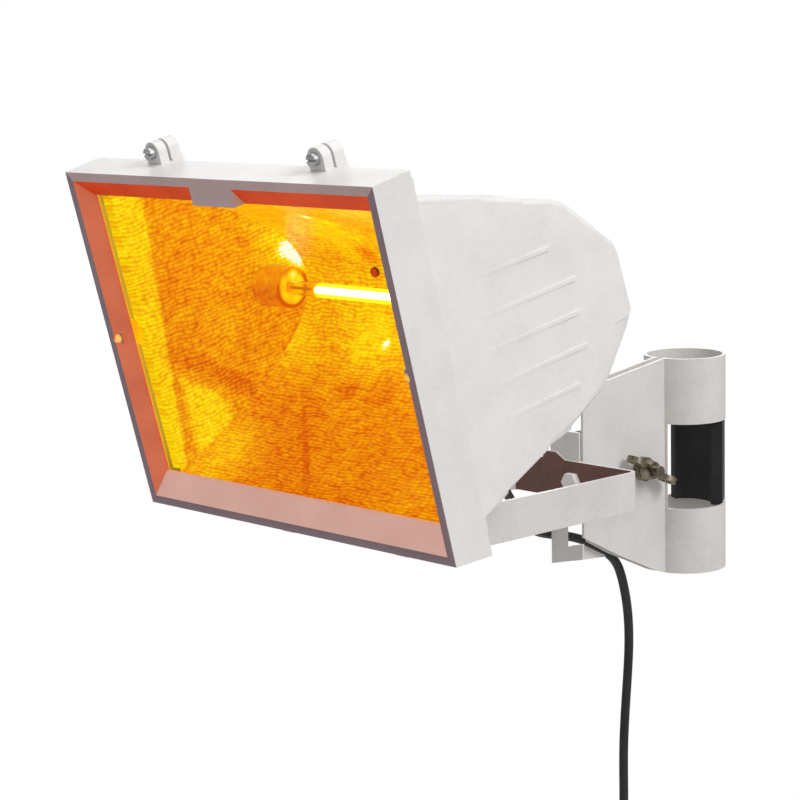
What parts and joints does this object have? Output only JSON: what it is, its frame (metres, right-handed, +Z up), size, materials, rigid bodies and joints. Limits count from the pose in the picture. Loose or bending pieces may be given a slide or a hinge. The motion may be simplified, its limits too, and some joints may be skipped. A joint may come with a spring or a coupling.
{
  "type": "halogen infrared heater with yoke and pole clamp",
  "caption": "Halogen infrared heater in a white casing, tilting in a narrow yoke on a sheet steel clamp for a 40 mm pole, with hinged glass front, wing nut and a coiled mains cord with plug.",
  "frame": {"origin": "on the pole's axis at the middle height of the clamp's hoop", "axes": "+Z up along the pole; the heater hangs out toward -Y and its face looks toward -Y, 14.7 degrees down; +X to the left of someone who faces the glass"},
  "size_m": [0.3026, 0.4883, 0.766],
  "materials": {
    "white_paint": "satin powder coat on sheet and die-cast metal",
    "bracket_paint": "satin powder coat on steel sheet",
    "reflector_aluminium": "hammered bright aluminium",
    "clear_glass": "tempered glass",
    "quartz": "quartz lamp tube",
    "tungsten": "glowing filament",
    "ceramic": "unglazed steatite",
    "bright_steel": "zinc-plated steel",
    "olive_zinc": "yellow-passivated cast zinc",
    "grey_silicone": "silicone seal",
    "black_rubber": "black rubber",
    "black_plastic": "black polyamide",
    "brown_sleeve": "silicone sleeve",
    "blue_sleeve": "silicone sleeve",
    "earth_sleeve": "silicone sleeve"
  },
  "bodies": {
    "clamp_and_yoke": {"clamp_bracket": "bracket_paint", "yoke": "white_paint", "pivot_bolts": "bright_steel", "pivot_washers": "bright_steel", "pivot_nuts": "bright_steel", "base_bolt": "bright_steel", "base_washer": "bright_steel", "base_nut": "bright_steel", "clamp_bolt": "olive_zinc", "clamp_washer": "olive_zinc", "pole_pad": "black_rubber", "cord_flex": "black_rubber", "cord_run": "black_rubber", "cord_coil": "black_rubber", "coil_tie": "black_plastic", "cord_tail": "black_rubber", "plug_body": "black_plastic", "plug_pins": "bright_steel", "plug_earth_clips": "bright_steel"},
    "head": {"housing": "white_paint", "housing_seal": "grey_silicone", "hinge_pins": "bright_steel", "reflector": "reflector_aluminium", "reflector_end_left": "reflector_aluminium", "reflector_end_right": "reflector_aluminium", "reflector_screws": "bright_steel", "lamp_tube": "quartz", "lamp_filament": "tungsten", "lamp_cap_left": "ceramic", "lamp_cap_right": "ceramic", "holder_left": "ceramic", "holder_right": "ceramic", "contact_fixed": "bright_steel", "contact_spring": "bright_steel", "holder_plate_left": "bright_steel", "holder_plate_right": "bright_steel", "holder_plate_screws": "bright_steel", "terminal_block": "ceramic", "terminal_screws": "bright_steel", "wire_live": "brown_sleeve", "wire_neutral": "blue_sleeve", "wire_earth": "earth_sleeve", "earth_screw": "bright_steel", "gland_body": "black_plastic", "gland_cap": "black_plastic", "gland_nut": "black_plastic", "cord_boot": "black_rubber", "cord_inlet": "black_rubber"},
    "front": {"front_frame": "white_paint", "glass_gasket": "grey_silicone", "glass": "clear_glass", "glass_clips": "bright_steel", "clip_screws": "bright_steel", "clip_nuts": "bright_steel", "frame_screws": "bright_steel"},
    "wing": {"wing_nut": "olive_zinc"},
    "plunger": {"contact_sprung": "bright_steel"}
  },
  "joints": [
    {"name": "head_tilt", "type": "hinge", "parent": "clamp_and_yoke", "child": "head", "pos_m": [0, -0.35, 0.003], "axis": [1, 0, 0], "range_deg": [-25, 45], "deforming": ["cord_flex"]},
    {"name": "frame_open", "type": "hinge", "parent": "head", "child": "front", "pos_m": [0, -0.36177, 0.01439], "axis": [1, 0, 0], "range_deg": [0, 60]},
    {"name": "wing_nut_turn", "type": "hinge", "parent": "clamp_and_yoke", "child": "wing", "pos_m": [0.0075, -0.058, 0.0025], "axis": [1, 0, 0], "continuous": true},
    {"name": "contact_press", "type": "slide", "parent": "head", "child": "plunger", "axis": [1, 0, 0], "range_m": [0, 0.004], "stiffness_N_per_m": 800, "springref_m": -0.003, "deforming": ["contact_spring"]}
  ]
}
